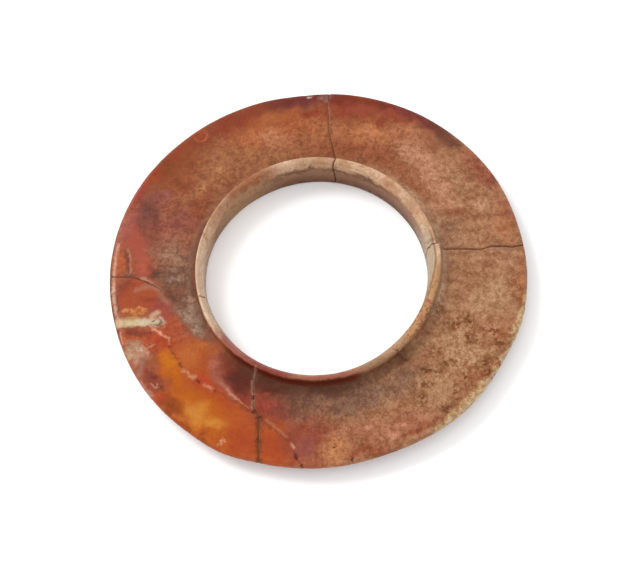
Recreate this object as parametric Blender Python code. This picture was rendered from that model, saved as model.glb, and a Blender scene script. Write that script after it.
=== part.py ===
"""Collared disc: a flat ring of stone whose central hole has a collar proud of both faces.

One solid. The section is a T lying on its side: a tall, narrow collar round the hole with
a thin plate running out from its middle. The disc lies on the flat rim of its lower collar,
with the hole's axis on +Z and the origin on that axis in the plane it lies on.
"""

import math

import bmesh
import bpy

MM = 0.001

# Driving dimensions, in metres.
HEIGHT = 9.4 * MM            # over both collar rims
OUTER_RADIUS = 54.2 * MM     # of the unworn outline
COLLAR_RADIUS = 31.8 * MM    # outside of the collar
MOUTH_RADIUS = 30.0 * MM     # of the hole at the upper rim
WAIST_RADIUS = 28.9 * MM     # of the hole at its narrowest
ROOT_THICKNESS = 2.8 * MM    # of the plate next to the collar
EDGE_THICKNESS = 2.2 * MM    # of the plate at its outer edge

# Rounded corners, in metres.
FILLET_RADIUS = 2.4 * MM     # hollow corner between collar and plate
RIM_ROUND = 0.6 * MM         # outer corner of each collar rim
MOUTH_ROUND = 0.4 * MM       # upper and lower corners of the hole
MOUTH_DEPTH = 1.5 * MM       # depth of the worn slope below the upper rim
EDGE_ROUND = 0.9 * MM        # how far the rounding of the plate's edge reaches inwards

# Places where the hand-ground outline is worn back from a circle:
# bearing and half-width in degrees, depth in metres. A negative depth stands out.
WORN_STRETCHES = (
    (90, 12, 0.3 * MM),
    (101, 60, 0.8 * MM),
    (-76, 34, 1.25 * MM),
    (-38, 21, 0.4 * MM),
    (189, 23, 0.2 * MM),
    (-104, 21, 0.5 * MM),
    (25, 23, -0.25 * MM),
    (-9, 25, -0.35 * MM),
)

# Facets.
SEGMENTS = 96
CORNER_STEPS = 3
FILLET_STEPS = 4
EDGE_STEPS = 6
FACE_STEPS = 2

STONE_COLOUR = (0.36, 0.15, 0.08, 1.0)
STONE_ROUGHNESS = 0.42


def clear_scene():
    for obj in list(bpy.data.objects):
        bpy.data.objects.remove(obj, do_unlink=True)


def arc(centre, radii, start, end, steps):
    """Points of a quarter-ellipse about centre, from start to end in degrees."""
    points = []
    for step in range(steps + 1):
        angle = math.radians(start + (end - start) * step / steps)
        points.append((
            centre[0] + radii[0] * math.cos(angle),
            centre[1] + radii[1] * math.sin(angle),
        ))
    return points


def collar_and_face():
    """Section from the lower rim's flat, over the fillet and out to the plate's edge."""
    middle = HEIGHT / 2
    face = middle - ROOT_THICKNESS / 2
    rim = (COLLAR_RADIUS - RIM_ROUND, RIM_ROUND)
    hollow = (COLLAR_RADIUS + FILLET_RADIUS, face - FILLET_RADIUS)
    points = arc(rim, (RIM_ROUND, RIM_ROUND), -90, 0, CORNER_STEPS)
    points += arc(hollow, (FILLET_RADIUS, FILLET_RADIUS), 180, 90, FILLET_STEPS)
    edge_start = OUTER_RADIUS - EDGE_ROUND
    edge_face = middle - EDGE_THICKNESS / 2
    for step in range(1, FACE_STEPS):
        share = step / FACE_STEPS
        points.append((
            hollow[0] + (edge_start - hollow[0]) * share,
            face + (edge_face - face) * share,
        ))
    return points


def section():
    """The closed section as (radius, height) points, anticlockwise from the lower rim."""
    middle = HEIGHT / 2
    lower = collar_and_face()
    upper = [(radius, HEIGHT - height) for radius, height in reversed(lower)]
    edge = arc(
        (OUTER_RADIUS - EDGE_ROUND, middle), (EDGE_ROUND, EDGE_THICKNESS / 2), -90, 90, EDGE_STEPS
    )
    slope_top = (MOUTH_RADIUS, HEIGHT - MOUTH_ROUND)
    slope = arc(
        (MOUTH_RADIUS + MOUTH_ROUND, HEIGHT - MOUTH_ROUND), (MOUTH_ROUND, MOUTH_ROUND), 90, 180,
        CORNER_STEPS,
    )
    slope_foot = ((slope_top[0] + 2 * WAIST_RADIUS) / 3, HEIGHT - MOUTH_DEPTH)
    waist = (WAIST_RADIUS, middle)
    foot = arc(
        (WAIST_RADIUS + 2 * MOUTH_ROUND, MOUTH_ROUND), (2 * MOUTH_ROUND, MOUTH_ROUND), 180, 270,
        CORNER_STEPS,
    )
    return lower + edge + upper + slope + [slope_foot, waist] + foot


def worn_outline(bearing):
    """How far the outline lies inside its circle at a bearing in degrees."""
    depth = 0.0
    for centre, half_width, most in WORN_STRETCHES:
        away = abs((bearing - centre + 180) % 360 - 180)
        if away < half_width:
            depth += most * math.cos(math.pi / 2 * away / half_width) ** 2
    return depth


def wear(bm):
    """Draw the outer part of the plate in to the worn outline; the collar stays round."""
    inner = COLLAR_RADIUS + FILLET_RADIUS
    for vert in bm.verts:
        radius = math.hypot(vert.co.x, vert.co.y)
        share = (radius - inner) / (OUTER_RADIUS - inner)
        if share <= 0:
            continue
        bearing = math.degrees(math.atan2(vert.co.y, vert.co.x))
        factor = 1 - worn_outline(bearing) * share / radius
        vert.co.x *= factor
        vert.co.y *= factor


def stone():
    material = bpy.data.materials.new("stone")
    material.use_nodes = True
    shader = material.node_tree.nodes["Principled BSDF"]
    shader.inputs["Base Color"].default_value = STONE_COLOUR
    shader.inputs["Roughness"].default_value = STONE_ROUGHNESS
    shader.inputs["Metallic"].default_value = 0.0
    return material


def collared_disc():
    bm = bmesh.new()
    points = [bm.verts.new((radius, 0.0, height)) for radius, height in section()]
    for index, vert in enumerate(points):
        bm.edges.new((vert, points[(index + 1) % len(points)]))
    bmesh.ops.spin(
        bm,
        geom=bm.verts[:] + bm.edges[:],
        cent=(0.0, 0.0, 0.0),
        axis=(0.0, 0.0, 1.0),
        angle=2 * math.pi,
        steps=SEGMENTS,
        use_merge=True,
    )
    wear(bm)
    bmesh.ops.recalc_face_normals(bm, faces=bm.faces[:])
    mesh = bpy.data.meshes.new("collared_disc")
    bm.to_mesh(mesh)
    bm.free()
    mesh.shade_smooth()
    mesh.set_sharp_from_angle(angle=math.radians(50))
    mesh.materials.append(stone())
    disc = bpy.data.objects.new("collared_disc", mesh)
    bpy.context.scene.collection.objects.link(disc)
    return disc


clear_scene()
collared_disc()
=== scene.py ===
import math

import bmesh
import bpy
import numpy as np
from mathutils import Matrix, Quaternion, Vector, noise


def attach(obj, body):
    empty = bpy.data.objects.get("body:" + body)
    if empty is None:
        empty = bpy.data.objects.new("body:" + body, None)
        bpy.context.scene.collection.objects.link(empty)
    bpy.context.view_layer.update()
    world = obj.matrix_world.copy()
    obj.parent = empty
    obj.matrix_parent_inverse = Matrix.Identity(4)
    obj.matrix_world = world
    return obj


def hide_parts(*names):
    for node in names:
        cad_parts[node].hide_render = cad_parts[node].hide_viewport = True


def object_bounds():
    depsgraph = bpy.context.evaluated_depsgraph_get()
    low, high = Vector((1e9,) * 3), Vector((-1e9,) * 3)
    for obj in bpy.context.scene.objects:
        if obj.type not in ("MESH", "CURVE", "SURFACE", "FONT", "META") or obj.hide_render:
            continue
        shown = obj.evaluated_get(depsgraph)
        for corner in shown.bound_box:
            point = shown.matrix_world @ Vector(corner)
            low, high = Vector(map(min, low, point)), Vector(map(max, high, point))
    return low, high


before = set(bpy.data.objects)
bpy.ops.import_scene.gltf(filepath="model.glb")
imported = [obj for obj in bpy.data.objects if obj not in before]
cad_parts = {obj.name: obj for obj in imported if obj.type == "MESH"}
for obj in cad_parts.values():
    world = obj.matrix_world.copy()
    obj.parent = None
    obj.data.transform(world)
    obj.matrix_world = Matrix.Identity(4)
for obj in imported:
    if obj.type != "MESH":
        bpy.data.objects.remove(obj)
cad_low, cad_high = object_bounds()

# ---------------------------------------------------------------------------
# The stone ring. One piece of nephrite, sawn flat, drilled and ground so that a
# collar stands proud of both faces round the hole. The section is spun round the
# hole's axis, then drawn in to the outline that the hand grinding left.
# ---------------------------------------------------------------------------
MM = 0.001
# dimensions in millimetres
HEIGHT = (cad_high.z - cad_low.z) / MM
MIDDLE = HEIGHT / 2
OUTER_RADIUS = 54.2          # of the unworn outline
COLLAR_RADIUS = 31.8         # outside of the collar
RIM_ROUND = 0.6              # outer corner of each collar rim
MOUTH_RADIUS = 30.0          # of the hole below its upper corner
MOUTH_WEAR = (1.15, 0.75)    # width and depth of the curve worn on that corner
MOUTH_DEPTH = 1.5            # depth of the worn slope below the upper rim
WAIST_RADIUS = 28.9          # of the hole at its narrowest
FOOT_ROUND = (0.8, 0.4)      # width and depth of the hole's lower corner
FILLET_RADIUS = 2.4          # hollow corner between collar and plate
ROOT_THICKNESS = 2.8         # of the plate next to the collar
EDGE_THICKNESS = 2.2         # of the plate at its outer edge
EDGE_ROUND = 0.9             # how far the rounding of the plate's edge reaches inwards

# how finely each stretch of the section is divided
RIM_STEPS = 5
FILLET_STEPS = 9
LOWER_FACE_STEPS = 18
UPPER_FACE_STEPS = 46
EDGE_STEPS = 10
MOUTH_STEPS = 8
BORE_STEPS = 6
SHORT_STEPS = 4
SEGMENTS = 720
STEP_ANGLE = 360 / SEGMENTS

# bearing and half-width in degrees, depth in millimetres; a negative depth stands out
WORN_STRETCHES = (
    (90, 12, 0.3),
    (101, 60, 0.8),
    (-76, 34, 1.25),
    (-38, 21, 0.4),
    (189, 23, 0.2),
    (-104, 21, 0.5),
    (25, 23, -0.25),
    (-9, 25, -0.35),
    (-21, 12, -0.3),
)


def arc(centre, radii, start, end, steps):
    """Points of a quarter-ellipse about centre, from start to end in degrees."""
    points = []
    for step in range(steps + 1):
        angle = math.radians(start + (end - start) * step / steps)
        points.append((
            centre[0] + radii[0] * math.cos(angle),
            centre[1] + radii[1] * math.sin(angle),
        ))
    return points


def straight(start, end, steps):
    """Points between start and end, without either of them."""
    shares = [step / steps for step in range(1, steps)]
    return [(start[0] + (end[0] - start[0]) * s, start[1] + (end[1] - start[1]) * s) for s in shares]


def collar_and_face(face_steps):
    """Half of the section: from the lower rim's corner over the fillet and out along the face."""
    face = MIDDLE - ROOT_THICKNESS / 2
    rim_centre = (COLLAR_RADIUS - RIM_ROUND, RIM_ROUND)
    rim = arc(rim_centre, (RIM_ROUND, RIM_ROUND), -90, 0, RIM_STEPS)
    hollow_centre = (COLLAR_RADIUS + FILLET_RADIUS, face - FILLET_RADIUS)
    hollow = arc(hollow_centre, (FILLET_RADIUS, FILLET_RADIUS), 180, 90, FILLET_STEPS)
    edge_start = (OUTER_RADIUS - EDGE_ROUND, MIDDLE - EDGE_THICKNESS / 2)
    return rim + hollow + straight(hollow[-1], edge_start, face_steps)


def section():
    """The closed section as (radius, height) points in millimetres, from the lower rim round."""
    lower = collar_and_face(LOWER_FACE_STEPS)
    upper = [(radius, HEIGHT - height) for radius, height in reversed(collar_and_face(UPPER_FACE_STEPS))]
    edge_centre = (OUTER_RADIUS - EDGE_ROUND, MIDDLE)
    edge = arc(edge_centre, (EDGE_ROUND, EDGE_THICKNESS / 2), -90, 90, EDGE_STEPS)
    mouth_centre = (MOUTH_RADIUS + MOUTH_WEAR[0], HEIGHT - MOUTH_WEAR[1])
    mouth = arc(mouth_centre, MOUTH_WEAR, 90, 180, MOUTH_STEPS)
    slope_foot = ((MOUTH_RADIUS + 2 * WAIST_RADIUS) / 3, HEIGHT - MOUTH_DEPTH)
    waist = (WAIST_RADIUS, MIDDLE)
    foot_centre = (WAIST_RADIUS + FOOT_ROUND[0], FOOT_ROUND[1])
    foot = arc(foot_centre, FOOT_ROUND, 180, 270, SHORT_STEPS)
    points = lower + edge + upper + mouth
    points += straight(mouth[-1], slope_foot, SHORT_STEPS) + [slope_foot]
    points += straight(slope_foot, waist, BORE_STEPS) + [waist]
    points += straight(waist, foot[0], BORE_STEPS) + foot
    points += straight(foot[-1], lower[0], SHORT_STEPS)
    return points


stone_bm = bmesh.new()
section_verts = [stone_bm.verts.new((radius, 0.0, height)) for radius, height in section()]
for index, vert in enumerate(section_verts):
    stone_bm.edges.new((vert, section_verts[(index + 1) % len(section_verts)]))
bmesh.ops.spin(
    stone_bm,
    geom=stone_bm.verts[:] + stone_bm.edges[:],
    cent=(0.0, 0.0, 0.0),
    axis=(0.0, 0.0, 1.0),
    angle=math.pi / 2,
    steps=SEGMENTS // 4,
    use_merge=False,
)
for axis in ("X", "Y"):
    whole = stone_bm.verts[:] + stone_bm.edges[:] + stone_bm.faces[:]
    bmesh.ops.mirror(stone_bm, geom=whole, axis=axis, merge_dist=0.001)
bmesh.ops.recalc_face_normals(stone_bm, faces=stone_bm.faces[:])
stone_mesh = bpy.data.meshes.new("mended_stone")
stone_bm.to_mesh(stone_mesh)
stone_bm.free()

# every vertex: its place, radius and height in millimetres and its bearing in degrees
count = len(stone_mesh.vertices)
place = np.empty(count * 3)
stone_mesh.vertices.foreach_get("co", place)
place = place.reshape(count, 3)
radius = np.hypot(place[:, 0], place[:, 1])
height = place[:, 2].copy()
lattice = np.degrees(np.arctan2(place[:, 1], place[:, 0]))


def turned(angle):
    """An angle in degrees brought between -180 and 180."""
    return (angle + 180) % 360 - 180


def hump(bearing, centre, half_width):
    """1 at the centre bearing, falling smoothly to 0 at the half-width either side."""
    away = np.clip(np.abs(turned(bearing - centre)) / half_width, 0, 1)
    return np.cos(math.pi / 2 * away) ** 2


def ramp(values, start, length):
    """0 up to start, then rising evenly to 1 over the length; falling if the length is negative."""
    return np.clip((values - start) / length, 0, 1)


# ---------------------------------------------------------------------------
# The four breaks. The ring snapped right across in four places and was put
# together again; each join is a fine open line that wanders across the plate,
# over the rim and down the bore. Lines of the mesh are drawn onto each join.
# ---------------------------------------------------------------------------
RIM_INNER = 31.0     # the radius inside which a join follows the bore
RIM_BLEND = 0.4      # how far inside it the one run takes over from the other
FOOT_HEIGHT = 0.2    # height below which a join runs under the lower rim
JOIN_REACH = 30      # how far to each side the mesh is drawn along with a join, in degrees
CROWDING = 0.6       # how much the mesh is drawn together beside a join
# mean bearing, then how the join runs: radius across the plate, then height down the bore
BREAKS = {
    "far": (
        79,
        ((54.3, 81.1), (51.6, 81.1), (49.6, 81.4), (46.6, 80.7), (44.6, 80.7), (42.1, 80.4),
         (39.7, 79.5), (38.2, 78.8), (34.9, 77.2), (33.0, 76.0), (31.9, 75.2), (31.0, 75.7)),
        ((9.0, 76.1), (7.6, 76.2), (5.6, 75.4), (2.0, 75.0), (0.0, 75.4)),
    ),
    "right": (
        3,
        ((54.3, 1.6), (50.9, 1.3), (48.9, 1.9), (45.6, 2.4), (43.1, 1.7), (39.5, 2.6),
         (36.5, 3.3), (33.4, 4.0), (32.0, 5.0), (31.0, 5.0)),
        ((8.5, 4.3), (6.0, 3.4), (2.0, 4.4), (0.0, 5.0)),
    ),
    "near": (
        242,
        ((54.3, 249.3), (52.1, 248.8), (49.9, 247.8), (46.2, 246.5), (42.9, 245.2), (41.6, 243.7),
         (40.8, 241.6), (37.7, 240.1), (35.3, 237.6), (32.9, 235.7), (31.6, 235.9), (31.0, 235.3)),
        ((9.0, 234.7), (5.0, 234.4), (0.0, 235.3)),
    ),
    "left": (
        182,
        ((54.3, 175.3), (53.1, 175.6), (50.1, 175.9), (48.1, 176.0), (46.6, 176.7), (45.0, 177.6),
         (42.5, 179.6), (41.0, 181.3), (39.6, 183.5), (38.2, 185.4), (36.8, 187.6), (35.0, 189.5),
         (33.1, 190.6), (32.0, 190.0), (31.0, 190.2)),
        ((9.0, 190.5), (4.0, 190.0), (0.0, 190.2)),
    ),
}


def join_bearing(plate_run, bore_run):
    """Bearing of a join at every vertex, from its run across the plate and down the bore."""
    plate_radii, plate_bearings = zip(*reversed(plate_run))
    across = np.interp(radius, plate_radii, plate_bearings)
    heights, bearings = zip(*reversed(bore_run))
    down = np.interp(height, heights + (HEIGHT,), bearings + (plate_bearings[0],))
    inside = ramp(radius, RIM_INNER, -RIM_BLEND) * (height > FOOT_HEIGHT)
    return across + (down - across) * inside


# how open each join is at a radius: almost closed in the haze at the left, narrow at the far side
OPENNESS = {
    "far": ((31, 1.0), (33, 0.9), (37, 0.7), (40, 0.5), (50, 0.45), (54, 0.8)),
    "right": (
        (31, 0.9), (35, 0.85), (38, 0.8), (41, 0.95), (44, 0.75), (48, 0.95), (51, 0.8), (54, 0.9),
    ),
    "near": ((31, 0.5), (36, 0.35), (41, 0.75), (43, 0.5), (46, 0.6), (54, 0.55)),
    "left": ((31, 0.9), (32.5, 0.5), (35, 0.3), (40, 0.4), (43, 0.75), (46, 0.8), (54, 0.65)),
}
bearing = lattice.copy()
to_join = np.full(count, 99.0)
openness = np.zeros(count)
for name, (centre, plate_run, bore_run) in BREAKS.items():
    away = turned(lattice - centre)
    near_lines = np.abs(away) / STEP_ANGLE
    bearing -= CROWDING * away * np.exp(-(near_lines / 2) ** 2)
    shift = join_bearing(plate_run, bore_run) - centre
    bearing += hump(lattice, centre, JOIN_REACH) * shift
    closer = near_lines < np.abs(to_join)
    to_join[closer] = near_lines[closer]
    openness[closer] = np.interp(radius[closer], *zip(*OPENNESS[name]))

# the outline, ground by hand and worn
inner = COLLAR_RADIUS + FILLET_RADIUS
outward = np.clip((radius - inner) / (OUTER_RADIUS - inner), 0, None)
for centre, half_width, depth in WORN_STRETCHES:
    radius = radius - depth * hump(bearing, centre, half_width) * outward

angle = np.radians(bearing)
place = np.column_stack((radius * np.cos(angle), radius * np.sin(angle), height))


def oval(x, y, length, width, turn):
    """1 in the middle of an oval seen from above, falling smoothly to 0 at its rim."""
    along = math.radians(turn)
    east, north = place[:, 0] - x, place[:, 1] - y
    forward = (east * math.cos(along) + north * math.sin(along)) / length
    across = (north * math.cos(along) - east * math.sin(along)) / width
    return np.clip(1 - forward ** 2 - across ** 2, 0, 1)


# how far fragments and worn places lie off the spun shape, in millimetres
SET_OUT = 0.65              # the fragment below the right break, at the collar
STANDS_PROUD = 0.35         # the fragment left of the near break
MOUTH_WORN = (0.6, 0.25)    # the mouth, to the left and to the right of the near break
LEANS_OUT = 0.3             # the collar at the near side
CORNER_WORN = 0.3           # the plate's upper corner at the left

# the fragment below the right break is set a little outwards, and shows at the collar
below_right = (lattice < BREAKS["right"][0] - STEP_ANGLE / 2) & (lattice > -40)
fading = ramp(lattice, -22, 20) * below_right
collar_share = ramp(radius, 34.5, -2.5) * ramp(height, 4, 3) * ramp(radius, 30.3, 1.1)
place[:, 0] += SET_OUT * fading * collar_share
# the fragment left of the near break stands proud of the outline
near_break = turned(BREAKS["near"][0])
left_of_near = hump(lattice, near_break - 9, 9) * (lattice < near_break - STEP_ANGLE / 2)
place[:, :2] *= (1 + STANDS_PROUD * left_of_near * outward / radius)[:, None]
# the collar's rim is worn narrow at the left, from both its sides
worn_rim = hump(lattice, 163, 55) * np.where(radius > 30.4, ramp(height, 6.2, 1.5), 1)
drawn_in = np.interp(radius, (28.9, 30.0, 31.15, 31.8, 33.0, 34.5), (0.5, 0.45, -0.1, -0.55, -0.3, 0.0))
place[:, :2] *= (1 + drawn_in * worn_rim / radius)[:, None]
# the mouth of the hole is worn wider at the near side, most of all towards the left
mouth_wear = MOUTH_WORN[0] * hump(lattice, near_break - 16, 60)
mouth_wear += MOUTH_WORN[1] * hump(lattice, near_break + 33, 45)
mouth_wear *= np.interp(radius, (28.9, 29.3, 30.1, 31.2), (0.6, 1.0, 0.8, 0.0)) * ramp(height, 4, 3)
place[:, :2] *= (1 + mouth_wear / radius)[:, None]
# the collar leans out a little at the near side
leaning = ramp(radius, 34, -2) * ramp(height, 3, 5)
place[:, 1] -= LEANS_OUT * hump(lattice, -92, 58) * leaning
# the plate's upper corner is rubbed off to a slope at the left
upper = height > MIDDLE + 0.5
edge_share = ramp(radius, OUTER_RADIUS - 1.9, 0.9)
place[:, 2] -= CORNER_WORN * edge_share * hump(bearing, 182, 34) * upper

# chips at the collar's mouth, at the breaks and along the crumbled edge: where each lies
# east and north of the axis, its length and width, its turn in degrees and its depth
CHIPS = (
    (30.6, 3.6, 1.5, 0.8, 0, 0.9), (27.3, 12.6, 3.2, 1.0, 112, 0.5), (22.4, 19.6, 4.2, 1.0, 130, 0.45),
    (13.4, 27.2, 3.4, 0.8, 153, 0.35), (18.2, -25.4, 0.8, 1.6, 50, 0.5), (-28.9, -8.6, 3, 0.7, 105, 0.3),
    (-16, 26.8, 5, 1.2, 30, 0.3), (7.6, 30.3, 0.8, 1.6, 0, 0.35),
)
NICKS = (
    (0.0, -48.5, 0.5, 0.45, 0, 0.3), (4.1, -52.0, 0.8, 0.6, 0, 0.4), (2.6, 52.6, 1.3, 0.8, 0, 0.5),
    (6.6, 51.9, 3.0, 1.3, 5, 0.3), (-9.6, -50.6, 1.2, 0.8, 30, 0.35), (-8.6, -51.6, 1.4, 0.7, 0, 0.3),
    (-40.0, -35.4, 1.0, 0.7, -45, 0.3), (40.6, -34.4, 2.6, 0.9, 50, 0.4), (45.0, -28.6, 2.0, 0.8, 57, 0.4),
    (34.6, -40.6, 2.4, 0.9, 40, 0.4), (50.4, -17.4, 2.8, 0.8, 71, 0.4), (29.0, -44.6, 2.0, 0.8, 33, 0.35),
    (44.4, -25.4, 0.9, 0.5, -30, 0.2), (27.4, -31.0, 1.2, 0.5, -10, 0.2), (35.0, -34.6, 0.5, 1.0, 0, 0.2),
)
on_collar = height > 7.0
on_plate = (radius > 36) & upper
for losses, where in ((CHIPS, on_collar), (NICKS, on_plate)):
    for *outline, depth in losses:
        place[:, 2] -= depth * oval(*outline) * where

# the joins are cut in along the normals; grinding and wear leave no face quite flat
on_join = np.round(to_join) == 0
beside_join = np.round(to_join) == 1
stone_mesh.vertices.foreach_set("co", (place * MM).ravel())
stone_mesh.update()
normals = np.empty(count * 3)
stone_mesh.vertex_normals.foreach_get("vector", normals)
normals = normals.reshape(count, 3)

JOIN_DEPTH = 0.2
BESIDE_JOIN_DEPTH = 0.03
# height in millimetres, fineness and place in the noise of each kind of unevenness
UNEVENNESS = ((0.06, 0.07, (0, 0, 0)), (0.03, 0.35, (7, 3, 1)), (0.012, 1.1, (2, 9, 4)))
relief = np.zeros(count)
for most, fineness, offset in UNEVENNESS:
    relief += most * np.array([noise.noise(Vector(p) * fineness + Vector(offset)) for p in place])
relief -= (JOIN_DEPTH * on_join + BESIDE_JOIN_DEPTH * beside_join) * openness
# the lower rim lies flat on the table
lying = (height < 0.05) & ~on_join
relief[lying] = np.minimum(relief[lying], 0)
place += normals * relief[:, None]
place[:, 2] = np.clip(place[:, 2], 0, HEIGHT)

stone_mesh.vertices.foreach_set("co", (place * MM).ravel())
# how much dirt a join holds, and the stone just beside it
BESIDE_JOIN_DIRT = 0.45
join_attribute = stone_mesh.attributes.new("join", "FLOAT", "POINT")
dirt_in_join = (1.0 * on_join + BESIDE_JOIN_DIRT * beside_join) * openness
join_attribute.data.foreach_set("value", dirt_in_join.astype(np.float32))
stone_mesh.update()
stone_mesh.shade_smooth()

mended_stone = bpy.data.objects.new("mended_stone", stone_mesh)
bpy.context.scene.collection.objects.link(mended_stone)


# ---------------------------------------------------------------------------
# The stone's finish. Amber and red nephrite that burial has altered: most of it
# is now a granular tan, with haze round the collar, white veins and a cream rim.
# ---------------------------------------------------------------------------
class Shade:
    """A socket of a material. Arithmetic on it adds the Math nodes that work it out."""

    def __init__(self, tree, socket=None):
        self.tree = tree
        self.socket = socket

    def add(self, kind, settings, values, output=0):
        """Adds a node, sets its settings, fills its sockets and gives one of its outputs."""
        node = self.tree.nodes.new(kind)
        for name, value in settings.items():
            setattr(node, name, value)
        for name, value in values.items():
            if isinstance(value, Shade):
                self.tree.links.new(value.socket, node.inputs[name])
            else:
                node.inputs[name].default_value = value
        return Shade(self.tree, node.outputs[output])

    def math(self, operation, *values):
        return self.add("ShaderNodeMath", {"operation": operation}, dict(enumerate(values)))

    def __add__(self, other):
        return self.math("ADD", self, other)

    def __radd__(self, other):
        return self.math("ADD", other, self)

    def __sub__(self, other):
        return self.math("SUBTRACT", self, other)

    def __rsub__(self, other):
        return self.math("SUBTRACT", other, self)

    def __mul__(self, other):
        return self.math("MULTIPLY", self, other)

    def __rmul__(self, other):
        return self.math("MULTIPLY", other, self)

    def larger(self, other):
        return self.math("MAXIMUM", self, other)

    def smaller(self, other):
        return self.math("MINIMUM", self, other)

    def distance_from_zero(self):
        return self.math("ABSOLUTE", self)

    def step(self, start, end, most=1.0):
        """0 at start, most at end, smooth between; start may be the larger."""
        return self.add(
            "ShaderNodeMapRange", {"interpolation_type": "SMOOTHSTEP"},
            {"Value": self, "From Min": start, "From Max": end, "To Max": most},
        )

    def part(self, axis):
        """One of the three numbers of a vector."""
        return self.add("ShaderNodeSeparateXYZ", {}, {"Vector": self}, axis)

    def vector(self, operation, *others):
        """This vector worked on with others; a length is a number, the rest are vectors."""
        output = "Value" if operation in ("LENGTH", "DISTANCE", "DOT_PRODUCT") else "Vector"
        values = dict(enumerate((self, *others)))
        return self.add("ShaderNodeVectorMath", {"operation": operation}, values, output)

    def between(self, low, high):
        """One colour where this number is 0 and another where it is 1."""
        return self.add(
            "ShaderNodeMix", {"data_type": "RGBA", "clamp_factor": True}, {0: self, 6: low, 7: high}, 2
        )

    def under(self, colour, share):
        """This colour with a share of another laid over it."""
        return share.between(self, colour)

    def times(self, red, green, blue):
        """This colour made lighter or darker in each of its channels."""
        return self.add(
            "ShaderNodeMix", {"data_type": "RGBA", "blend_type": "MULTIPLY", "clamp_factor": True},
            {0: 1.0, 6: self, 7: (red, green, blue, 1.0)}, 2,
        )

    def noise(self, scale, detail, roughness, output=0):
        """Cloudy noise round this point: output 0 is a number, output 1 three of them."""
        return self.add(
            "ShaderNodeTexNoise", {"noise_dimensions": "3D"},
            {"Vector": self, "Scale": scale, "Detail": detail, "Roughness": roughness}, output,
        )


# a colour seen under this light: the stone's own share of it, and what the light lends to it
OWN_SHARE = 0.62
LENT = 0.009


def tint(red, green, blue):
    """A colour as the eye reads it, 0 to 255, on the shader's scale."""
    channels = []
    for value in (red, green, blue):
        share = value / 255
        shown = share / 12.92 if share <= 0.04045 else ((share + 0.055) / 1.055) ** 2.4
        channels.append(max(OWN_SHARE * shown - LENT, 0.001))
    return (*channels, 1.0)


jade = bpy.data.materials.new("altered_jade")
jade.use_nodes = True
shader = jade.node_tree.nodes["Principled BSDF"]
coordinates = Shade(jade.node_tree).add("ShaderNodeTexCoord", {}, {}, "Object")
point = coordinates.vector("MULTIPLY", (1 / MM, 1 / MM, 1 / MM))
flat = point.vector("MULTIPLY", (1.0, 1.0, 0.0))
reach = flat.vector("LENGTH")
level = point.part("Z")
from_middle = level - MIDDLE
rise = from_middle.distance_from_zero()

# the stone's colours wander, so they are read from points pushed about by noise: broad zones
# most of all, small patches less, and veins and crust hardly at all
push = point.noise(0.2, 2, 0.5, 1).vector("MULTIPLY_ADD", (6.0, 6.0, 0.0), (-3.0, -3.0, 0.0))
nudge = point.noise(0.8, 3, 0.55, 1).vector("MULTIPLY_ADD", (2.0, 2.0, 0.0), (-1.0, -1.0, 0.0))
wandering = nudge.vector("MULTIPLY_ADD", (0.55, 0.55, 0.0), flat.vector("ADD", push))
ragged = nudge.vector("MULTIPLY_ADD", (1.3, 1.3, 0.0), flat)
barely = nudge.vector("MULTIPLY_ADD", (0.5, 0.5, 0.0), flat)
eastward = wandering.part("X")
northward = wandering.part("Y")

# unevenness of every size: from clouds across the plate down to single grains
cloud = point.noise(0.2, 5, 0.6)
mottle = point.noise(0.13, 4, 0.85)
speck = point.noise(0.95, 3, 0.7)
lumps = point.noise(0.5, 3, 0.8).step(0.33, 0.67)
grit = point.noise(0.85, 3, 0.95).step(0.3, 0.7)
unrest = grit + lumps
crumbling = unrest * 0.4 + 0.6
hairs = (point.noise(0.6, 2, 0.6) - 0.5).distance_from_zero().step(0.05, 0.0)


def spot(place, x, y, length, width, turn=0):
    """An oval on the plate: 1 in its middle, 0 at its rim. Its length is turned anticlockwise."""
    oval = place.add("ShaderNodeTexGradient", {"gradient_type": "SPHERICAL"}, {"Vector": place}, 1)
    mapping = oval.socket.node.texture_mapping
    mapping.vector_type = "TEXTURE"
    mapping.translation = (x, y, 0.0)
    mapping.rotation = (0.0, 0.0, math.radians(turn))
    mapping.scale = (length, width, 1.0)
    return oval


def spots(place, ovals):
    """Ovals that run together."""
    cover = spot(place, *ovals[0])
    for more in ovals[1:]:
        cover = cover.larger(spot(place, *more))
    return cover


def spread(ovals, softness, share=1.0):
    """Ovals that fade from their share to nothing about their given size."""
    wider = 1 / (1 - softness / 2)
    grown = [(x, y, length * wider, width * wider, *turn) for x, y, length, width, *turn in ovals]
    return spots(wandering, grown).step(0.0, softness, share)


def zone(stone, colour, share, softness, *ovals):
    """The stone with a broad zone of another colour in it, softer or crisper at its edge."""
    return stone.under(tint(*colour), spread(ovals, softness, share))


def patch(stone, colour, share, *ovals):
    """The stone with small patches of another colour, crumbled at their edges."""
    grown = [(x, y, length * 1.5, width * 1.5, *turn) for x, y, length, width, *turn in ovals]
    return stone.under(tint(*colour), (spots(ragged, grown) * crumbling).step(0.03, 0.95, share))


def away_from(run):
    """How far the stone lies from a crooked line through the points of a run, in millimetres."""
    away = None
    for (x0, y0), (x1, y1) in zip(run, run[1:]):
        east, north = x1 - x0, y1 - y0
        square = east * east + north * north
        from_start = barely.vector("SUBTRACT", (x0, y0, 0.0))
        along = from_start.vector("DOT_PRODUCT", (east / square, north / square, 0.0))
        on_line = along.add("ShaderNodeClamp", {}, {"Value": along})
        nearest = on_line.add(
            "ShaderNodeVectorMath", {"operation": "SCALE"}, {0: (east, north, 0.0), "Scale": on_line}
        )
        distance = from_start.vector("DISTANCE", nearest)
        away = distance if away is None else away.smaller(distance)
    return away


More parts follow.
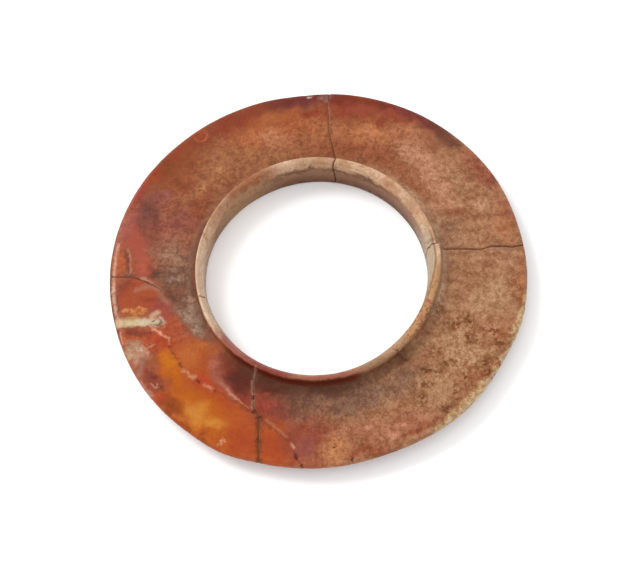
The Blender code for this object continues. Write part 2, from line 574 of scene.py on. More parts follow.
def vein(stone, colour, share, width, *run):
    """The stone with a crooked vein of another colour through the points of a run."""
    crumbled, softness = min(0.8 * width, 0.6), min(0.6 * width, 0.7)
    middle = 0.4 * width + crumbled
    away = unrest.math("MULTIPLY_ADD", unrest, crumbled, away_from(run))
    return stone.under(tint(*colour), away.step(middle + softness, middle - softness, share))


# ground: tan at the right, browner at the far left, redder at the near left
stone = cloud.step(0.4, 0.6).between(tint(162, 111, 80), tint(178, 128, 95))
stone = stone.under(tint(157, 97, 66), (northward - eastward * 0.55).step(8.0, 28.0) * 0.9)
stone = stone.under(tint(166, 92, 66), (northward * -0.5 - eastward).step(14.0, 34.0) * 0.9)

# far right: red-brown next to the collar, pinkish tan further out, red and dark along the edge
stone = zone(
    stone, (150, 84, 56), 0.75, 0.8,
    (12, 34.5, 12, 2.6, -10), (19.5, 31.4, 6, 3, -40), (26, 25, 9, 2.6, -52),
)
stone = zone(stone, (170, 104, 70), 0.8, 0.9, (15, 40.5, 11, 5, -8))
stone = zone(stone, (196, 126, 86), 0.7, 0.9, (17.5, 38.8, 6, 2.6, -14))
stone = zone(stone, (182, 114, 82), 0.6, 0.9, (27, 39.4, 5, 3, -25))
stone = zone(
    stone, (198, 138, 108), 0.7, 0.9,
    (31.5, 29, 6, 3.4, -45), (34, 22, 5, 2.5, -60), (35, 15, 3, 2, 0),
)
stone = zone(
    stone, (154, 92, 66), 0.7, 0.9,
    (44.5, 25, 5, 2.6, -60), (36.5, 13, 3, 1.6, 0), (33.8, 34, 4, 2.2, -45),
)
stone = zone(stone, (148, 82, 62), 0.85, 0.9, (47.4, 24, 7, 2.4, -62), (51, 13, 4.4, 1.6, -76))
stone = zone(stone, (174, 108, 72), 0.6, 0.9, (49.6, 7.6, 4.4, 2.6, -80), (52.4, -8, 6, 1.2, 84))
stone = zone(stone, (160, 118, 92), 0.6, 0.9, (35.5, 7, 5, 2.6, -80))
stone = zone(
    stone, (150, 74, 52), 0.95, 0.7,
    (14, 47.6, 9, 4, -12), (25, 44.8, 7, 2.6, -30), (22, 42.6, 2.4, 1.4, 0),
)
stone = zone(stone, (164, 82, 66), 0.8, 0.9, (15.4, 47.2, 4, 1.8, -10), (25, 45.6, 3, 1.4, -30))
stone = zone(stone, (132, 60, 46), 0.95, 0.8, (11, 50.8, 7, 1.8, -10), (21.4, 48.4, 6, 1.5, -25))
stone = zone(stone, (122, 60, 54), 0.95, 0.8, (31, 43.4, 6.4, 2.2, -40), (34.6, 39.6, 3.4, 2.2, -46))
stone = zone(stone, (110, 66, 54), 0.85, 0.8, (38.2, 36.6, 4.4, 2.5, -44), (40, 33.6, 3, 1.4, -25))
stone = patch(stone, (206, 152, 122), 0.6, (44.2, 14.2, 2.4, 1.5, 0), (26, 33, 2, 1.2, 0))
stone = patch(stone, (112, 70, 50), 0.7, (22.5, 47, 1.1, 0.8, 0))

# far left: smooth red and brown, granular again towards the collar
stone = zone(stone, (164, 108, 73), 0.8, 0.9, (-18, 36, 11, 4, 27), (-9.6, 34.4, 6, 1.8, 10))
stone = zone(stone, (172, 96, 60), 0.95, 0.8, (-8, 44.5, 12, 5, 6))
stone = zone(
    stone, (180, 108, 70), 0.7, 0.9,
    (-9, 46.6, 4, 2, 0), (-12, 42, 5, 2.6, 10), (2.4, 42.5, 3, 3, 0),
)
stone = zone(stone, (200, 136, 102), 0.7, 0.9, (-7.6, 40.2, 3.4, 2.4, 0))
stone = zone(
    stone, (146, 68, 46), 0.9, 0.8,
    (-20, 45.8, 8, 2.8, 22), (-29.5, 40.4, 6, 2.4, 38), (2.4, 47, 3, 1.6, 0),
)
stone = zone(stone, (168, 84, 58), 0.5, 0.9, (5.6, 45.6, 1.2, 1.4, 0))
stone = zone(stone, (118, 58, 54), 0.95, 0.8, (-2, 51.4, 10, 2.2, 2))
stone = zone(stone, (146, 72, 52), 0.9, 0.9, (-18, 48.4, 9, 2.2, 16), (-40, 33.6, 8, 1.6, 50))
stone = zone(stone, (150, 83, 53), 0.95, 0.7, (-33.4, 33.4, 9, 4.6, 45), (-30, 20, 8, 2.2, 60))
stone = zone(stone, (140, 74, 46), 0.8, 0.9, (-34, 28, 3, 1.6, 0), (-37, 34.5, 4, 2, 50))
stone = zone(stone, (158, 72, 46), 0.6, 0.9, (-34, 38.6, 2.4, 1.6, 45), (-40, 33.4, 2, 1.4, 50))
stone = zone(stone, (170, 78, 46), 0.7, 0.9, (-42.2, 31.4, 2.4, 1.0, 50))
stone = zone(stone, (162, 76, 66), 0.9, 0.8, (-45.6, 27.4, 4.4, 1.6, 60))
stone = zone(stone, (126, 74, 66), 0.95, 0.8, (-43, 20.8, 6.6, 3.8, 70))
stone = zone(stone, (112, 62, 56), 0.5, 0.9, (-42.6, 20, 3.4, 2.0, 76))
stone = zone(stone, (150, 88, 76), 0.8, 0.9, (-38.8, 25.6, 2.4, 1.8, 0), (-34.5, 17.5, 4, 5, 0))
stone = zone(stone, (168, 92, 84), 0.9, 0.8, (-48.8, 18.4, 4.6, 1.3, 64))
stone = zone(stone, (146, 82, 66), 0.9, 0.8, (-41.5, 14.6, 3, 5, 0))
stone = patch(stone, (182, 128, 88), 0.8, (-28, 27, 1.6, 1.1, 30), (-23, 32.5, 1.6, 1.1, 0))

# left: clear red, and grey-brown haze next to the collar
stone = zone(stone, (176, 90, 74), 0.95, 0.5, (-46, 12, 7, 2.6, 98), (-44.4, 5.4, 3.6, 2.4, 112))
stone = zone(stone, (186, 96, 62), 0.9, 0.8, (-50.7, 7.6, 3.4, 1.1, 84))
stone = zone(
    stone, (176, 86, 56), 0.95, 0.6,
    (-46.4, -2, 6, 4.4, 0), (-41.5, -4.6, 4, 2.2, -30), (-40, -13.5, 4, 6, 0),
)
stone = zone(stone, (148, 70, 56), 0.8, 0.9, (-50, 1.2, 2.2, 1.6, 0), (-43, -3.4, 3, 0.9, -20))
stone = zone(stone, (140, 80, 70), 0.9, 0.9, (-38.8, -5.5, 3, 1.8, -60))
stone = zone(stone, (125, 91, 77), 0.95, 0.8, (-36.4, 2.4, 4.6, 6, 0), (-32.5, -9, 3.4, 8, 22))
stone = zone(stone, (150, 112, 94), 0.7, 0.9, (-37.5, 9.5, 4.4, 4, 0))
stone = zone(stone, (184, 96, 72), 0.8, 0.9, (-45.6, 7, 2.8, 1.3, 104))
stone = zone(stone, (160, 66, 60), 0.8, 0.9, (-42.8, 4.6, 2, 0.8, 120))
stone = zone(stone, (98, 62, 46), 0.8, 0.9, (-41, 3.4, 1.4, 1.2, 0), (-37.6, -3.2, 3, 1.5, -50))
stone = zone(stone, (150, 104, 88), 0.7, 0.9, (-42.6, 0.7, 2.4, 0.9, -30))
stone = patch(stone, (112, 66, 60), 0.85, (-49.1, 9, 2.4, 0.7, 92), (-48.8, 6, 1.4, 0.4, 88))
stone = patch(
    stone, (95, 62, 48), 0.7,
    (-41.2, 3.8, 1.5, 0.6, 90), (-40.8, -2.0, 1.2, 0.6, -40), (-34.5, 4, 1.4, 1, 0),
)

# near left: clear amber running into orange and red
stone = zone(
    stone, (184, 90, 48), 1.0, 0.5,
    (-34, -24, 10, 7.4, -52), (-28, -37, 16, 10, -42), (-16, -45.6, 8, 6, -20),
)
stone = zone(stone, (184, 92, 52), 1.0, 0.7, (-48, -13.6, 4.6, 2.0, -8))
stone = zone(stone, (178, 76, 46), 0.9, 0.8, (-29, -31, 6, 2, -45), (-41.5, -15.5, 4, 2.6, -40))
stone = zone(stone, (196, 104, 34), 0.95, 0.8, (-33, -36, 11, 5, -42), (-39, -25, 6, 2.4, -70))
# two paler spots on the polished amber are painted highlights
stone = zone(stone, (218, 146, 66), 0.9, 1.0, (-34, -36.2, 3.0, 2.4, -40), (-29.4, -39.2, 3.0, 1.1, 0))
stone = zone(stone, (208, 122, 30), 0.9, 1.0, (-39.8, -21.6, 3, 1.5, -66))
stone = zone(stone, (174, 74, 44), 0.85, 0.9, (-22.5, -44, 5, 4, -30), (-15, -47, 5, 3.4, -15))
stone = zone(stone, (148, 72, 28), 0.8, 0.9, (-40.4, -32.8, 3.2, 1.4, -48), (-34.5, -42, 7, 1.1, -40))
stone = zone(stone, (198, 112, 60), 0.85, 0.9, (-35, -20.6, 2.8, 3, -20), (-29.6, -19.4, 3.4, 1.3, -20))
stone = zone(stone, (190, 78, 50), 0.8, 0.9, (-31.2, -27, 1.8, 1.6, 0), (-42.6, -31, 1.4, 1, -50))
stone = zone(stone, (158, 78, 60), 0.95, 0.8, (-43.8, -26.2, 3.4, 2.6, -58), (-45.8, -23, 2.4, 1.4, -60))
stone = zone(stone, (122, 60, 48), 0.85, 0.9, (-43.6, -24.8, 1.9, 1.3, -50), (-42.2, -28.4, 1.3, 0.9, -50))

# near side: violet and dark red between the veins and the collar, granular and browner to the right
stone = zone(stone, (170, 100, 82), 0.95, 0.7, (-27, -26.6, 5.6, 2.0, -68))
stone = zone(stone, (144, 66, 54), 0.95, 0.7, (-22.6, -31, 5, 2.4, -58))
stone = zone(stone, (146, 66, 52), 0.95, 0.8, (-14.5, -37, 6, 4, -20))
stone = zone(
    stone, (98, 50, 40), 0.95, 0.6,
    (-21.6, -27, 5.6, 3.2, -50), (-15.6, -29.8, 5, 3.6, -20), (-10, -31.6, 5, 2, -12),
    (-2, -33, 10, 2.4, 2),
)
stone = zone(stone, (144, 70, 52), 0.8, 0.9, (-25.2, -24, 2.6, 2.2, -45))
stone = zone(stone, (148, 74, 56), 0.95, 0.7, (-7, -45.6, 6, 4.6, 0))
stone = zone(stone, (156, 88, 78), 0.7, 0.9, (-7.4, -48.4, 2.2, 2.6, 0))
stone = zone(stone, (122, 84, 66), 0.9, 0.9, (-5, -36.4, 7, 4, 0), (5, -37, 7, 3.6, 0))
stone = zone(stone, (138, 102, 82), 0.8, 0.9, (12, -35.6, 7, 3.8, 15), (19, -33.6, 5, 2.6, 35))
stone = zone(stone, (166, 102, 76), 0.85, 0.9, (8, -45.6, 8, 3.4, 0), (18, -44, 7, 3, 15))
stone = zone(stone, (190, 124, 82), 0.95, 0.9, (0.6, -49.6, 2.8, 3.6, 0))
stone = zone(
    stone, (150, 80, 54), 0.9, 0.9,
    (8, -50, 5, 1.6, 4), (21, -46.6, 5, 1.2, 26), (12, -51, 3, 0.8, 8),
)
stone = patch(
    stone, (168, 74, 60), 0.8,
    (-16, -36, 1.6, 1.1, 0), (-13, -36.2, 1.2, 0.9, 0), (-15.6, -32.8, 1, 0.7, 0),
)
stone = patch(
    stone, (200, 136, 108), 0.7,
    (17.5, -44.4, 1.8, 1, 0), (14.4, -46.4, 1.8, 1.3, -30), (9.6, -44.4, 1.2, 0.9, 0),
)

# lower right: light tan
stone = zone(
    stone, (187, 141, 104), 0.8, 0.9,
    (34, -25.5, 8, 4.4, -60), (44, -12, 5, 4, 0), (27, -36, 4, 3, 0), (39, -28, 4, 2, 0),
)

# the corner between the collar and the plate darkens all round, partly dirt and partly painted shade, with
# its brown haze beyond; a painted light makes it paler at the right
corner = reach.step(35.4, 32.4) * rise.step(4.3, 2.9)
dirt_and_shade = spread(((-9, -31, 16, 7, -14), (-31, 7, 7, 16, 12), (15, -29, 10, 4, 28)), 0.7)
painted_light_in_corner = spread(((30, 14, 7, 14, 24), (32, -10, 5, 13, 14)), 0.9)
stone = stone.under(tint(98, 64, 46), corner * (0.1 + grit * 0.25 + dirt_and_shade * 0.5))
stone = stone.under(tint(212, 170, 136), corner * painted_light_in_corner * 0.45)
# a dark line along the foot of the near collar, partly the stone's red and partly painted shade
stone = vein(stone, (96, 42, 34), 0.6, 0.8, (-22, -23.6), (-14, -29.2), (-5, -32.2), (4, -32.4), (8, -31.4))

# small marks at the far side: a ring, a chip of pinkish grey at the edge
RING = (-27.6, 43.4)
from_ring = barely.vector("SUBTRACT", (*RING, 0.0)).vector("LENGTH")
stone = stone.under(tint(160, 72, 46), from_ring.step(1.9, 1.1) * 0.7)
ring_line = from_ring.step(2.2, 1.85) * from_ring.step(1.3, 1.65) * (0.35 + spot(flat, -26.4, 42, 3.4, 3.4))
stone = stone.under(tint(196, 112, 76), ring_line * 0.55)
stone = patch(stone, (154, 112, 106), 0.85, (6.9, 51.9, 2.2, 0.9, 5), (7.1, 50.6, 1.2, 0.9, -80))
stone = patch(stone, (206, 180, 170), 0.85, (2.8, 52.2, 1.0, 0.6, 5))
stone = patch(stone, (96, 56, 50), 0.8, (1.6, 52, 0.5, 0.8, 0))

# left: pale veins by the break, gold threads and the white crystalline streak
stone = vein(stone, (200, 140, 120), 0.85, 0.5, (-48.7, 11.4), (-48.2, 9), (-48.2, 5), (-48.7, 4.4))
stone = vein(stone, (204, 156, 140), 0.8, 0.7, (-45.4, 2.7), (-43.8, 1.9), (-42.8, 1.1))
stone = vein(
    stone, (186, 126, 106), 0.7, 1.5,
    (-47, -0.6), (-45, 0.2), (-42.6, -0.1), (-41, -1.6), (-40.2, -3.6), (-39, -5.2),
)
stone = vein(stone, (160, 126, 108), 0.55, 2.4, (-37, -6.4), (-34.6, -9.4), (-33, -12), (-31.4, -15.4))
stone = vein(stone, (176, 76, 60), 0.7, 0.8, (-39.3, -8.4), (-38.8, -12))
stone = patch(
    stone, (196, 168, 150), 0.5,
    (-31.8, -13.6, 2, 1, -60), (-34.8, -9.8, 2.4, 0.8, -52), (-36.6, 1.6, 2.2, 1.4, 0),
)
stone = zone(stone, (168, 138, 120), 0.6, 0.9, (-32.6, -8.4, 1.4, 4, 14))
stone = zone(stone, (162, 74, 70), 0.7, 0.9, (-41.4, -6.6, 2.4, 2, -30))
stone = patch(
    stone, (166, 128, 106), 0.5,
    (-33.4, -4.6, 2.4, 0.8, -75), (-35.4, 6, 3, 2, 30), (-38, 9, 2, 1.4, 0),
)
stone = zone(stone, (130, 62, 50), 0.8, 0.8, (-47.6, -12.8, 3.4, 1.1, -2))
stone = vein(stone, (104, 60, 44), 0.75, 0.7, (-52.2, -11.1), (-48, -11), (-44.2, -10.8))
stone = patch(stone, (190, 104, 54), 0.7, (-47.4, -6.5, 3.6, 1.1, 0))
stone = patch(
    stone, (224, 154, 96), 0.8,
    (-50, -5.8, 1.1, 0.5, 0), (-48.3, -6.3, 1, 0.5, 10), (-46.9, -5.6, 0.9, 0.45, 0),
    (-45.4, -6.1, 0.9, 0.5, -20), (-48, -7.3, 1, 0.4, 0), (-46.3, -7.1, 0.9, 0.45, 0),
    (-44.9, -6.9, 0.7, 0.5, 0),
)
stone = vein(stone, (222, 202, 164), 0.95, 2.6, (-52.4, -9.3), (-45.4, -9.7))
stone = vein(stone, (222, 206, 182), 0.9, 2.0, (-46, -9.8), (-41.4, -9.8))
stone = vein(stone, (216, 186, 156), 0.85, 1.4, (-44, -9.2), (-42.8, -7.9), (-41.8, -7.4))
stone = patch(stone, (206, 156, 102), 0.7, (-48.4, -8.2, 2.2, 0.6, 0))
stone = patch(stone, (206, 184, 160), 0.9, (-41.7, -10.3, 2.0, 1.2, -10))
stone = patch(stone, (228, 180, 156), 0.8, (-52.4, -9, 0.9, 0.8, 0))
stone = vein(
    stone, (104, 78, 62), 0.8, 0.45,
    (-43.1, -9.8), (-42.3, -9.2), (-41.2, -9.6), (-41, -10.6), (-41.9, -11.1), (-42.8, -10.7),
)
stone = patch(stone, (235, 172, 150), 0.85, (-43, -12.2, 1.0, 0.5, -20), (-41.6, -13.4, 0.9, 0.5, -50))

# the pale patch below the streak, and pink marks round the dark red beyond it
stone = zone(stone, (190, 146, 122), 0.85, 0.7, (-47.6, -17.4, 3.0, 1.9, -8), (-48.4, -19.4, 1.5, 1.6, 0))
stone = patch(stone, (190, 162, 126), 0.6, (-49.2, -17.4, 1.2, 1.7, 0))
stone = patch(stone, (222, 190, 168), 0.6, (-47, -16.9, 1.6, 0.6, 0))
stone = patch(stone, (218, 158, 138), 0.6, (-45.4, -18, 0.9, 1.1, 0), (-44, -16.5, 0.9, 0.6, 0))
stone = vein(stone, (170, 126, 110), 0.7, 1.6, (-47, -19.6), (-46.6, -22), (-47.6, -24))
stone = vein(stone, (216, 152, 132), 0.8, 0.5, (-44.6, -26.8), (-43.8, -28), (-42.8, -27.9), (-43.1, -27))
stone = vein(stone, (206, 150, 134), 0.7, 0.8, (-47.2, -25.8), (-45.9, -28.2), (-44.4, -30.2))
# a pink painted highlight along the plate's edge at the left
stone = vein(stone, (216, 160, 146), 0.8, 0.5, (-51.8, -11.8), (-51.2, -15.2))

# the vein down the amber: pale, then a faint dark line, then pale knots and dashes
stone = vein(
    stone, (226, 160, 130), 0.85, 0.5,
    (-44, -11), (-42.5, -12.4), (-41, -13.6), (-39.4, -15), (-39.4, -16.4),
)
stone = vein(
    stone, (134, 68, 40), 0.7, 0.5,
    (-39.5, -16.6), (-39.3, -18.2), (-38.3, -19.6), (-36.8, -22.5), (-36, -24.2),
)
stone = vein(stone, (222, 158, 122), 0.9, 0.8, (-36.2, -24.2), (-35.2, -24.8), (-34.8, -25.9), (-33, -26.1))
stone = vein(stone, (112, 54, 32), 0.8, 0.6, (-33, -27), (-31.6, -28.4))
stone = vein(stone, (226, 142, 116), 0.85, 0.8, (-31.4, -28.6), (-29.3, -30))
stone = vein(stone, (130, 62, 36), 0.7, 0.6, (-28.7, -30.4), (-26.5, -31.6))
stone = patch(stone, (196, 116, 98), 0.6, (-28.6, -23.4, 1.6, 1.5, 0))
stone = patch(stone, (228, 172, 140), 0.75, (-28.1, -44.3, 1.0, 0.6, 35))

# the long vein from the collar to the near edge, dark along its lower side
LONG_VEIN = (
    (-27, -28.4), (-25.5, -30.5), (-24, -32.5), (-22, -34.5), (-20.3, -36), (-17.6, -38), (-16.4, -39.6),
    (-14.5, -41.5), (-13, -43), (-11.6, -44.6),
)
stone = vein(stone, (116, 62, 44), 0.45, 0.8, *((x - 0.5, y - 0.5) for x, y in LONG_VEIN))
stone = vein(stone, (196, 128, 108), 0.55, 1.5, *LONG_VEIN[:3])
stone = vein(stone, (216, 150, 120), 0.75, 0.55, *LONG_VEIN[1:4])
stone = vein(stone, (200, 130, 104), 0.6, 0.4, *LONG_VEIN[3:5])
stone = vein(stone, (194, 126, 98), 0.55, 0.6, *LONG_VEIN[6:])
stone = vein(stone, (220, 166, 136), 0.7, 0.5, (-10.6, -46.4), (-10, -47.8))
stone = vein(stone, (92, 48, 36), 0.8, 0.6, (-10, -48.6), (-9.6, -50.4), (-8.6, -52))

# the altered stone is granular all through: dark crumbs and pale lumps, hardly any in the clear amber
clear = spread(
    (
        (-31, -31, 20, 12, -48), (-46.5, -3, 8, 9, 0), (-46.5, 12, 3.6, 9, 5), (-37, 36, 16, 5.4, 42),
        (-17, -46, 11, 6.6, -20), (-12, 48.6, 18, 5, 8), (18, 48, 15, 4.4, -18), (-22, -27, 8, 4, -46),
        (37, 37, 6, 4, -44),
    ),
    0.9,
)
coarse = spread(((38, -28, 20, 10, -60), (12, -43, 12, 5, 10), (-36, 3, 6, 9, 0)), 0.8)
rough_stone = 1 - clear * 0.85 + coarse * 0.25
unevenness = (mottle - 0.5) * 1.9 + (lumps - 0.5) * 0.92 + (grit - 0.5) * 0.66
lightness = unevenness * rough_stone + 0.5
stone = lightness.between(stone.times(0.74, 0.64, 0.54), stone.times(1.24, 1.34, 1.42))
stone = stone.under(stone.times(1.22, 1.3, 1.36), hairs * rough_stone * 0.55)
redder = (northward * 0.6 - eastward).step(-8.0, 14.0)
stone = stone.under(stone.times(0.94, 0.88, 0.8), redder)
hazy = spread(((-36, 3, 5.4, 9, 0), (-33, -9, 3.4, 7, 22), (0, -36, 12, 4, 4)), 0.9)
stone = stone.under(tint(112, 78, 64), hazy * lightness.step(0.55, 0.2) * 0.5)

# brown crumbs gather where the tan stone at the lower right is most weathered
gathered = spots(ragged, (
    (33.4, -18.7, 4, 2.4), (37.4, -18.9, 2.2, 2.4), (37.2, -23, 3, 2.4), (42, -21.6, 4, 2.2),
    (46.6, -23, 2, 3.2, -20), (44.8, -25.6, 3.4, 2, -28), (27.2, -26.1, 3.6, 2),
    (32, -29.3, 5, 2.2), (25.8, -30.9, 3.6, 2, -14), (41.6, -30, 5, 2), (38.2, -32.4, 5, 2.3),
    (35.2, -34.7, 2, 3), (39.6, -34, 2.4, 2), (24.8, -34.3, 3.2, 2), (22.8, -38, 2, 3.2),
    (32.2, -37.4, 1.9, 3), (28.5, -41.7, 2.6, 1.9), (50.4, -10, 2.2, 6), (30, -14, 2, 2.2),
))
specks = speck.step(0.42, 0.56) * (0.55 + hairs * 0.45)
stone = zone(
    stone, (158, 88, 52), 0.6, 0.9,
    (38.6, -33.6, 4, 2.2, 10), (46.2, -23, 1.2, 2.2, -14), (51, -13, 1, 3, 6),
)
stone = stone.under(tint(150, 94, 58), coarse * speck.step(0.48, 0.62) * 0.55)
rusty = mottle.step(0.44, 0.56).between(tint(118, 76, 40), tint(138, 72, 42))
stone = stone.under(rusty, gathered.step(0.0, 0.4) * specks * 0.9)
darkest = spots(ragged, (
    (27.4, -31, 3.0, 1.4, -12), (24.6, -30.7, 1.9, 0.9, 0), (24.2, -34.4, 3.2, 0.9, 0),
    (34.9, -33.8, 1.2, 3.2, 4), (23.3, -38, 1.3, 2.1, 0), (40.4, -32.9, 1.5, 1.8, 30),
    (44.5, -25.4, 2.2, 1.3, -30), (32, -37.4, 1.4, 2.6, 0), (28.6, -41.6, 2.2, 1.5, 0),
    (34.3, -19, 2.2, 1.5, 0), (37.2, -19, 1.7, 1.8, 0), (37, -16.4, 1.3, 1.5, 0),
    (36.8, -23.2, 1.7, 1.4, 0), (43.4, -21.8, 2, 1.2, 0), (30, -29.2, 1.5, 1.2, 0),
    (39.8, -30.2, 1.7, 1.2, 0),
))
pitted = (darkest * speck.step(0.42, 0.6)).step(0.0, 0.5)
stone = stone.under(tint(110, 60, 26), pitted * (0.4 + grit * 0.4))

# a crust along the lower right edge, thickest where the edge has crumbled
crust = spots(barely, (
    (52.6, -14, 4, 1.2, 78), (51.2, -18.6, 4, 2.6, 72), (49.6, -22, 4, 2.4, 64),
    (48, -25, 2.2, 1.8, 60), (46.4, -27.4, 2.4, 1.6, 60), (44.8, -29.6, 2.2, 1.9, 55),
    (42.3, -32.8, 2.2, 1.7, 52), (39.2, -36.2, 3.6, 2.7, 46), (36.6, -38.8, 3.2, 2.6, 44),
    (33.8, -41.2, 2.8, 2.6, 38), (30.6, -43.5, 3, 2.3, 34), (27.2, -45.8, 3.6, 1.8, 28),
))
crusty = speck.step(0.42, 0.58).between(tint(228, 198, 150), tint(188, 150, 100))
crusty = crusty.under(tint(236, 216, 182), rise.step(1.1, 0.5) * 0.7)
stone = stone.under(crusty, (crust * crumbling).step(0.1, 0.6) * (0.2 + unrest * 0.4))

# a whitened lip round the hole, bare brown stone at its far left and dark red at its near left
red_side = spread(((-17, -26.5, 16, 7, -34), (-1.5, -32, 10, 4, 0)), 0.5)
right_side = spread(((30.5, -6, 6, 13, -6),), 0.6)
outer_wall = reach.step(33.4, 32.3) * rise.step(1.8, 2.6)
# dark red on the outer wall of the collar at the near side: partly the stone's red, partly painted shade
red_and_shaded_wall = spread(((-14, -28, 12, 7, -28), (-1.5, -32, 10, 4, 0)), 0.5)
stone = stone.under(tint(104, 46, 34), red_and_shaded_wall * outer_wall * 0.75)
stone = stone.under(tint(150, 122, 98), right_side * outer_wall * 0.7)
cream = cloud.step(0.4, 0.6).between(tint(230, 193, 161), tint(208, 161, 126))
cream = cream.under(tint(180, 126, 92), lumps.step(0.5, 0.95) * 0.5)
cream = cream.under(tint(164, 102, 70), spread(((-17, 26.4, 9, 6, 36),), 0.7) * (0.8 + lumps * 0.2))
cream = cream.under(tint(230, 200, 172), spread(((-30.5, -3, 4, 16, 6),), 0.8) * 0.7)
cream = cream.under(tint(186, 140, 108), spread(((26.4, 15.6, 4.4, 3, 60), (4, 31, 8, 3, -8)), 0.7) * 0.6)
golden = spread(((25, -19, 12, 5, 54), (30, -9, 6, 4, 80)), 0.7)
cream = cream.under(tint(186, 138, 92), golden * (0.75 + grit * 0.25))
cream = cream.under(tint(156, 118, 88), spread(((13, -29, 8, 4, 25),), 0.9, 0.9))
cream = cream.under(tint(148, 76, 62), spread(((-18, -26, 14, 6, -38),), 0.5))
cream = cream.under(tint(170, 104, 90), spread(((-23, -21.4, 4.6, 3, -48),), 0.8) * 0.8)
cream = cream.under(tint(162, 98, 78), spread(((0, -31.5, 9, 4, 0),), 0.8))
cream = cream.under(tint(150, 72, 48), spread(((25, -17, 10, 5, 54),), 0.9) * speck.step(0.5, 0.6) * 0.7)
# a pale painted highlight along the worn slope of the mouth at the near side
cream = cream.under(tint(196, 136, 110), red_side * reach.step(30.4, 29.6) * 0.4)
inward = reach + flat.part("Y").step(0.0, -10.0)
cream = cream.under(tint(136, 100, 70), right_side * inward.step(31.4, 31.0) * 0.7)
cream = cream.under(tint(198, 176, 150), spread(((29.5, -1, 5, 9, 0),), 0.8, 0.8) * inward.step(30.9, 30.5))
lip = (rise + (cloud - 0.5) * 1.2 - red_side * 0.7).step(3.0, 3.9).larger(reach.step(31.0, 30.5))
outermost = reach - right_side * 0.5 + (lumps - 0.5) * 0.4
stone = stone.under(cream, lip * outermost.step(32.1, 31.5))

# the bore is brown below an uneven edge to the lip, and greyer at the left and the right
lower = spread(((-28, 8, 8, 17, 22),), 0.8, 2.0)
worn = level + (cloud - 0.5) * 4 + (mottle - 0.5) * 2.5 + (lumps - 0.5) * 1.0 + red_side * 3 + lower
wall = level.step(0.5, 7.0).between(tint(120, 82, 64), tint(164, 122, 94))
wall = wall.under(tint(186, 166, 144), spread(((29, -2, 5, 10, 0),), 0.8, 0.9))
wall = wall.under(tint(206, 174, 148), spread(((-29, 2, 6, 17, 8),), 0.8, 0.9))
wall = wall.under(tint(182, 140, 102), spread(((-19, 22, 11, 6, 45),), 0.9, 0.9))
wall = wall.under(tint(150, 100, 72), (lumps * 0.5 + cloud * 0.5).step(0.45, 0.7) * 0.5)
under_lip = worn.step(5.4, 6.9) * spread(((-4, 30, 6, 4, 0), (17, 24, 7, 5, -35), (8, 29, 3, 4, 0)), 0.9)
wall = wall.under(tint(106, 68, 46), under_lip * 0.7)
stone = stone.under(wall, reach.step(31.0, 30.4) * worn.step(8.2, 6.9))

# the lip and the bore are granular too, and stained where the collar has cracked
on_lip = reach.step(32.3, 31.5)
stone = stone.under(stone.times(0.74, 0.64, 0.54), on_lip * speck.step(0.48, 0.64) * 0.5)
stone = stone.under(stone.times(1.16, 1.22, 1.25), on_lip * hairs * 0.5)
stone = patch(stone, (166, 84, 56), 0.6, (27.6, -14, 1.1, 0.6, 65), (25.5, -17.2, 1.1, 0.6, 55))
stone = vein(stone, (92, 62, 42), 0.7, 0.6, (17.4, -25.4), (18.8, -26.6), (20.2, -27.6))

# the plate's side is darker at the left and the far side; its worn corner at the left is painted pale,
# partly the worn stone and partly a painted highlight
side = rise.step(0.9, 0.3) * reach.step(48.0, 51.5)
side_darker = spread(((-50, 8, 16, 22, 0), (-24, 46, 26, 14, 22), (30, 44, 24, 14, -40)), 0.6)
stone = stone.under(tint(88, 48, 40), side * side_darker * 0.8)
stone = vein(stone, (92, 52, 42), 0.7, 0.5, (-52.1, 0.2), (-52.2, -3), (-51.9, -6.2))
# painted highlight along the worn corner at the left, partly the pale worn stone
stone = vein(stone, (218, 162, 128), 0.75, 0.6, (-51.2, 13.4), (-52, 9.6), (-52.8, 4), (-53.1, 0))
stone = vein(stone, (198, 166, 140), 0.75, 0.65, (-53.1, 0), (-53, -4), (-52.4, -7.8))

# the open joins: soft brown dirt, black only in places, pale mending fill where a break is wide
join = point.add("ShaderNodeAttribute", {"attribute_name": "join"}, {}, "Fac")
stone = vein(stone, (126, 84, 66), 0.6, 1.3, (-18, -27), (-18.9, -29.6), (-19.1, -33), (-19.5, -37))
stone = vein(
    stone, (192, 146, 122), 0.65, 0.45,
    (-17.8, -26.4), (-18.9, -28.6), (-19.2, -31.4), (-19, -33), (-19.6, -36.2),
)
stone = vein(stone, (108, 62, 36), 0.7, 1.9, (-18.4, -38.4), (-18.4, -42), (-18.8, -46), (-19.2, -50.6))
stone = vein(stone, (180, 120, 102), 0.45, 0.45, (7.4, 50.6), (7.7, 47), (7.5, 44))
stone = vein(stone, (140, 82, 56), 0.6, 0.9, (7.3, 45), (7.2, 41), (7.3, 38), (7.6, 34))
stone = vein(stone, (154, 120, 106), 0.5, 1.0, (46, 1.4), (48.4, 1.2), (51, 0.6))
stone = patch(stone, (110, 84, 76), 0.8, (-48.6, 4, 1.6, 0.6, -8))
open_join = join * (0.7 + unrest * 0.3)
stone = stone.under(tint(104, 66, 42), open_join.step(0.15, 0.5) * 0.7)
stone = stone.under(tint(58, 34, 22), open_join.step(0.55, 0.95) * 0.9)
stone = patch(
    stone, (70, 40, 26), 0.85,
    (-19.2, -37.2, 0.7, 0.6, 0), (-18, -38.9, 0.7, 0.6, 0), (-18.7, -44.5, 0.35, 0.9, 0),
    (-19, -33.2, 0.4, 0.6, 0),
)
stone = patch(
    stone, (60, 34, 20), 0.9,
    (0.1, -48.6, 0.5, 0.45, 0), (4.2, -52.1, 0.6, 0.4, 0), (-8.6, -52.4, 0.6, 0.4, 0),
)

jade.node_tree.links.new(stone.socket, shader.inputs["Base Color"])

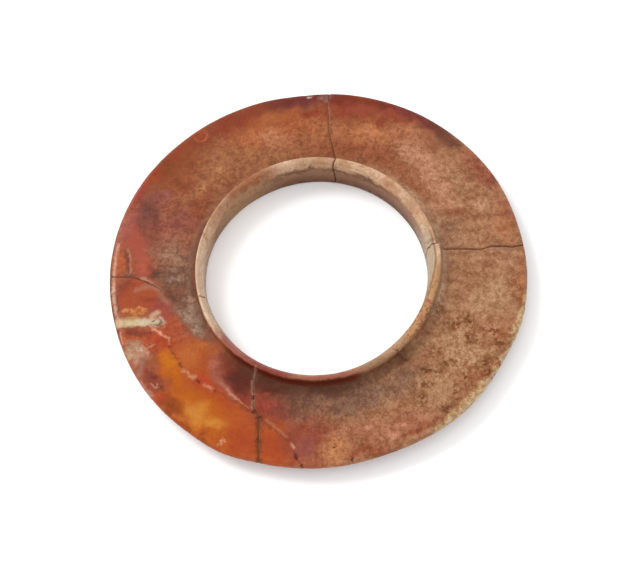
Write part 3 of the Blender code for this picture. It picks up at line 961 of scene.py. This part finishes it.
polish = 0.5 - clear * 0.2 + (grit - 0.5) * 0.12 + join * 0.4
jade.node_tree.links.new(polish.socket, shader.inputs["Roughness"])
shader.inputs["Specular IOR Level"].default_value = 0.15
fine = (grit * 0.4 + lumps * 0.6) * rough_stone
relief_bump = fine.add("ShaderNodeBump", {}, {"Height": fine, "Strength": 0.5, "Distance": 0.06 * MM})
jade.node_tree.links.new(relief_bump.socket, shader.inputs["Normal"])

stone_mesh.materials.append(jade)
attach(mended_stone, "root")
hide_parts("collared_disc")

# ---------------------------------------------------------------------------
# The white table that the ring lies on. It runs on past the edges of every view,
# so that nothing but white shows behind the ring.
# ---------------------------------------------------------------------------
table_bm = bmesh.new()
bmesh.ops.create_grid(table_bm, x_segments=1, y_segments=1, size=3.0)
table_mesh = bpy.data.meshes.new("table")
table_bm.to_mesh(table_mesh)
table_bm.free()
table_top = bpy.data.objects.new("table", table_mesh)
bpy.context.scene.collection.objects.link(table_top)
white = bpy.data.materials.new("white_table")
white.use_nodes = True
table_shader = white.node_tree.nodes["Principled BSDF"]
table_shader.inputs["Base Color"].default_value = (0.94, 0.94, 0.94, 1)
table_shader.inputs["Roughness"].default_value = 0.9
table_shader.inputs["Specular IOR Level"].default_value = 0.1
table_mesh.materials.append(white)

# ---------------------------------------------------------------------------
# Light and camera. A large soft lamp stands behind the ring at the left; a pale
# room, brighter at its sides than overhead, fills the shadows.
# ---------------------------------------------------------------------------
world = bpy.data.worlds.new("pale_room")
bpy.context.scene.world = world
world.use_nodes = True
background = world.node_tree.nodes["Background"]
room = Shade(world.node_tree)
walls = room.add("ShaderNodeTexCoord", {}, {}, "Generated").part("Z").step(0.9, -0.1) * 0.7 + 1.03
world.node_tree.links.new(walls.socket, background.inputs["Strength"])
background.inputs["Color"].default_value = (1, 1, 1, 1)

KEY_BEARING = math.radians(140)
KEY_ELEVATION = math.radians(40)
KEY_DISTANCE = 1.2
key_data = bpy.data.lights.new("soft_key", "AREA")
key_data.shape = "DISK"
key_data.size = 0.7
key_data.energy = 10.5
key = bpy.data.objects.new("soft_key", key_data)
toward_key = Vector((
    math.cos(KEY_BEARING) * math.cos(KEY_ELEVATION),
    math.sin(KEY_BEARING) * math.cos(KEY_ELEVATION),
    math.sin(KEY_ELEVATION),
))
key.location = toward_key * KEY_DISTANCE
key.rotation_mode = "QUATERNION"
key.rotation_quaternion = toward_key.to_track_quat("Z", "Y")
bpy.context.scene.collection.objects.link(key)

CAMERA_ELEVATION = math.radians(65.34)
CAMERA_ROLL = math.radians(-5.73)
CAMERA_DISTANCE = 0.45
camera_data = bpy.data.cameras.new("camera")
camera_data.sensor_width = 36.0
camera_data.lens = 96.3
camera_data.shift_x = 0.0039
camera_data.shift_y = -0.008
camera = bpy.data.objects.new("camera", camera_data)
toward_camera = Vector((0.0, -math.cos(CAMERA_ELEVATION), math.sin(CAMERA_ELEVATION)))
camera.location = toward_camera * CAMERA_DISTANCE
camera.rotation_mode = "QUATERNION"
upright = toward_camera.to_track_quat("Z", "Y")
camera.rotation_quaternion = upright @ Quaternion((0, 0, 1), CAMERA_ROLL)
bpy.context.scene.collection.objects.link(camera)
bpy.context.scene.camera = camera

bpy.context.scene.view_settings.view_transform = "Standard"
